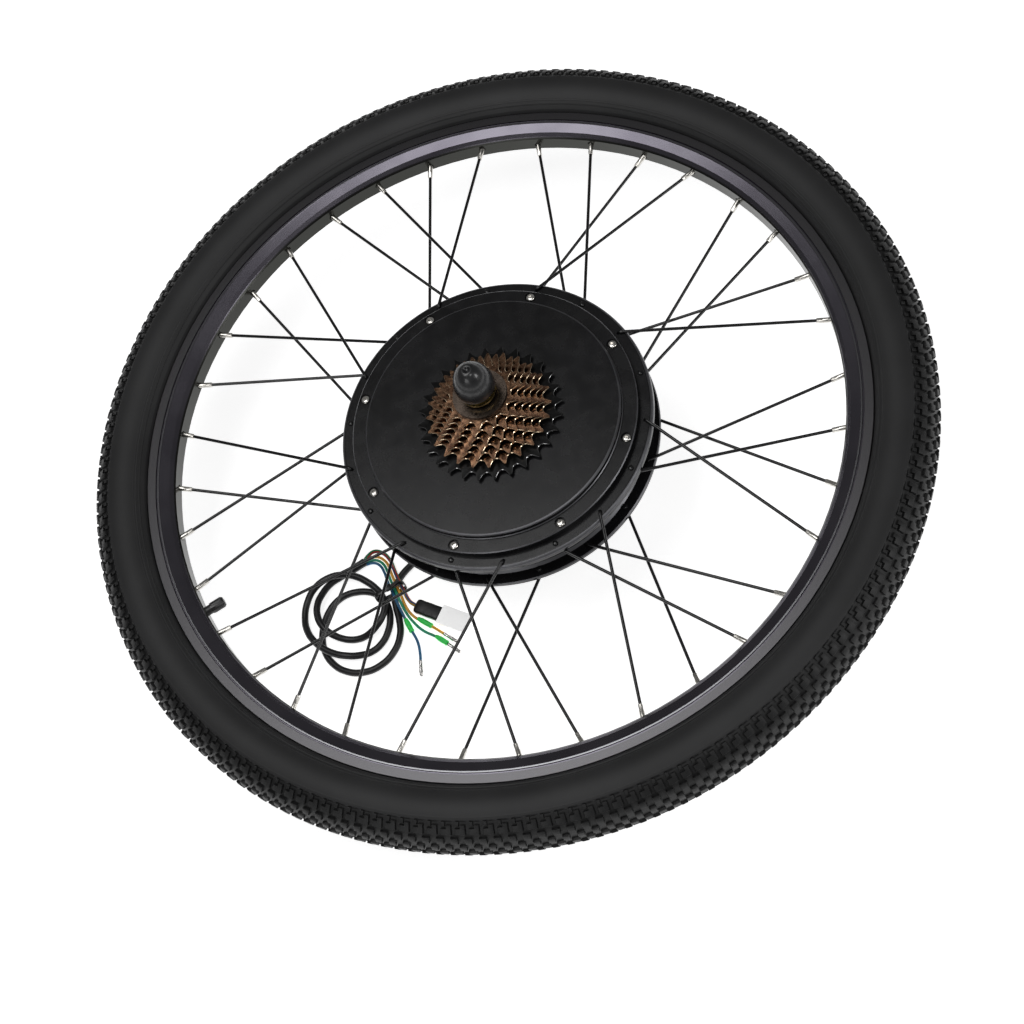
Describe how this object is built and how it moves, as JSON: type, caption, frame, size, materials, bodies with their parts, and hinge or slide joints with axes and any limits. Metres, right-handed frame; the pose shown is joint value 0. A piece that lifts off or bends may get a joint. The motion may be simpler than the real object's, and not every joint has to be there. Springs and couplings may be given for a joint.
{
  "type": "hub motor wheel",
  "caption": "Rear bicycle wheel with a direct-drive electric hub motor laced into a double-wall rim, block-tread tyre, screw-on sprocket freewheel and coiled motor lead.",
  "frame": {"origin": "on the axle line, in the middle plane of the rim and halfway between the dropout shoulders", "axes": "+Z runs along the axle towards the freewheel (drive side up); +X and +Y lie in the wheel's plane, with a nipple hole every 10 degrees from +X"},
  "size_m": [0.694, 0.694, 0.213],
  "materials": {
    "alloy": "die cast",
    "board_green": "lacquered board",
    "boot_rubber": "matt moulded",
    "cable_black": "satin jacket",
    "cap_black": "semi-gloss moulded",
    "connector_white": "moulded nylon",
    "copper": "enamelled wire",
    "cover_black": "cast, painted satin black",
    "freewheel_grey": "turned, phosphated",
    "hall_wires": "bundle of thin coloured wires",
    "iron": "rolled ring",
    "lamination": "stacked laminations",
    "lead_blue": "silicone insulation",
    "lead_green": "silicone insulation",
    "lead_yellow": "silicone insulation",
    "magnet_nickel": "nickel plated",
    "nipple_nickel": "nickel plated brass",
    "rim_black": "black anodised, satin",
    "screw_nickel": "nickel plated, bright",
    "seal_rubber": "smooth",
    "sleeve_green": "soft insulating sleeve",
    "spoke_black": "black coated steel",
    "sprocket_black": "black coated steel",
    "sprocket_brown": "brown plated, glossy",
    "steel": "machined",
    "steel_ball": "polished",
    "tape": "woven tape",
    "terminal_tin": "tin plated",
    "tie_black": "smooth nylon",
    "tube_rubber": "smooth",
    "tyre_rubber": "smooth matt sidewall, small-block tread",
    "valve_metal": "nickel plated",
    "zinc_yellow": "yellow passivated zinc"
  },
  "bodies": {
    "axle": {"axle": "steel", "axle_spacer_right": "steel", "axle_spacer_left": "steel", "stator_spider": "alloy", "stator_core": "lamination", "stator_windings": "copper", "hall_board": "board_green", "motor_lead": "cable_black", "bearing_inner_rings": "steel", "tab_washers": "zinc_yellow", "axle_nuts": "zinc_yellow", "axle_cap": "cap_black", "cable_boot": "boot_rubber", "cable_tube": "cable_black", "cable_coil": "cable_black", "cable_end_sleeve": "cable_black", "cable_tie": "tie_black", "phase_lead_yellow": "lead_yellow", "phase_lead_green": "lead_green", "phase_lead_blue": "lead_blue", "hall_lead": "hall_wires", "lead_sleeves": "sleeve_green", "lead_terminals": "terminal_tin", "hall_sleeve": "cable_black", "hall_connector": "connector_white"},
    "wheel": {"motor_ring": "cover_black", "back_iron": "iron", "magnets": "magnet_nickel", "right_cover": "cover_black", "left_cover": "cover_black", "cover_screws_right": "screw_nickel", "cover_screws_left": "screw_nickel", "bearing_outer_rings": "steel", "bearing_balls": "steel_ball", "oil_seals": "seal_rubber", "spokes_right": "spoke_black", "spokes_left": "spoke_black", "nipples": "nipple_nickel", "rim": "rim_black", "rim_tape": "tape", "inner_tube": "tube_rubber", "tyre": "tyre_rubber", "valve_stem": "valve_metal", "valve_cap": "cap_black", "freewheel_core": "freewheel_grey", "freewheel_pawls": "steel", "freewheel_face_ring": "freewheel_grey"},
    "freewheel": {"freewheel_shell": "freewheel_grey", "freewheel_balls": "steel_ball", "sprocket_spacers": "freewheel_grey", "sprocket_14t": "sprocket_brown", "sprocket_16t": "sprocket_brown", "sprocket_18t": "sprocket_brown", "sprocket_20t": "sprocket_brown", "sprocket_22t": "sprocket_brown", "sprocket_24t": "sprocket_brown", "sprocket_28t": "sprocket_black"}
  },
  "joints": [
    {"name": "wheel_spin", "type": "hinge", "parent": "axle", "child": "wheel", "pos_m": [0, 0, 0], "axis": [0, 0, 1], "continuous": true},
    {"name": "freewheel_spin", "type": "hinge", "parent": "wheel", "child": "freewheel", "pos_m": [0, 0, 0], "axis": [0, 0, 1], "continuous": true}
  ]
}
